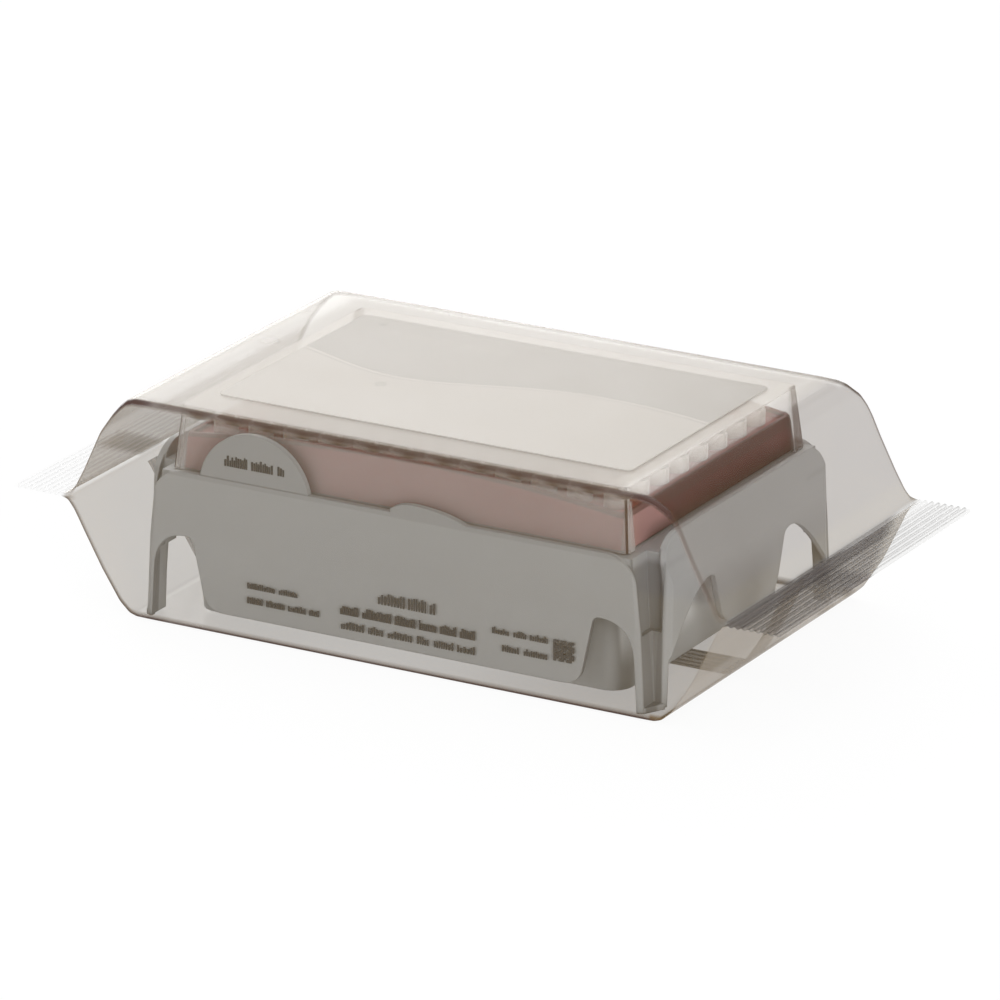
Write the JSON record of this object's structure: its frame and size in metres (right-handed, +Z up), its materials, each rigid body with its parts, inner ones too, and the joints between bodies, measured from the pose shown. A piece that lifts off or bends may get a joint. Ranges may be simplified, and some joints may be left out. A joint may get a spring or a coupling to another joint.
{
  "type": "box of pipette tips",
  "caption": "Rack of pipette tips in a legged base under a clear hinged lid, sealed in a clear film flow wrap with two ridged end fins.",
  "frame": {"origin": "on the underside of the wrap, in the middle of its footprint", "axes": "+Z up, X along the long side with a fin at each end, the side with the round thumb tab faces -Y and the lid hinge is on the +Y side"},
  "size_m": [0.194, 0.091, 0.0513],
  "materials": {
    "grey_plastic": "satin moulded, mid grey",
    "clear_plastic": "clear, glossy",
    "rack_plastic": "satin moulded, red-brown",
    "tip_plastic": "natural, slightly milky",
    "printed_card": "smooth label, pale front field and grey back field",
    "front_print": "smooth label in the colour of the base, dark grey bars",
    "wrap_film": "clear film with a warm grey cast, glossy"
  },
  "bodies": {
    "root": {"base": "grey_plastic", "lid": "clear_plastic", "tip_rack": "rack_plastic", "lid_label": "printed_card", "front_label": "front_print", "film_wrap": "wrap_film", "tip_A1": "tip_plastic", "tip_A2": "tip_plastic", "tip_A3": "tip_plastic", "tip_A4": "tip_plastic", "tip_A5": "tip_plastic", "tip_A6": "tip_plastic", "tip_A7": "tip_plastic", "tip_A8": "tip_plastic", "tip_A9": "tip_plastic", "tip_A10": "tip_plastic", "tip_A11": "tip_plastic", "tip_A12": "tip_plastic", "tip_B1": "tip_plastic", "tip_B2": "tip_plastic", "tip_B3": "tip_plastic", "tip_B4": "tip_plastic", "tip_B5": "tip_plastic", "tip_B6": "tip_plastic", "tip_B7": "tip_plastic", "tip_B8": "tip_plastic", "tip_B9": "tip_plastic", "tip_B10": "tip_plastic", "tip_B11": "tip_plastic", "tip_B12": "tip_plastic", "tip_C1": "tip_plastic", "tip_C2": "tip_plastic", "tip_C3": "tip_plastic", "tip_C4": "tip_plastic", "tip_C5": "tip_plastic", "tip_C6": "tip_plastic", "tip_C7": "tip_plastic", "tip_C8": "tip_plastic", "tip_C9": "tip_plastic", "tip_C10": "tip_plastic", "tip_C11": "tip_plastic", "tip_C12": "tip_plastic", "tip_D1": "tip_plastic", "tip_D2": "tip_plastic", "tip_D3": "tip_plastic", "tip_D4": "tip_plastic", "tip_D5": "tip_plastic", "tip_D6": "tip_plastic", "tip_D7": "tip_plastic", "tip_D8": "tip_plastic", "tip_D9": "tip_plastic", "tip_D10": "tip_plastic", "tip_D11": "tip_plastic", "tip_D12": "tip_plastic"}
  },
  "joints": []
}
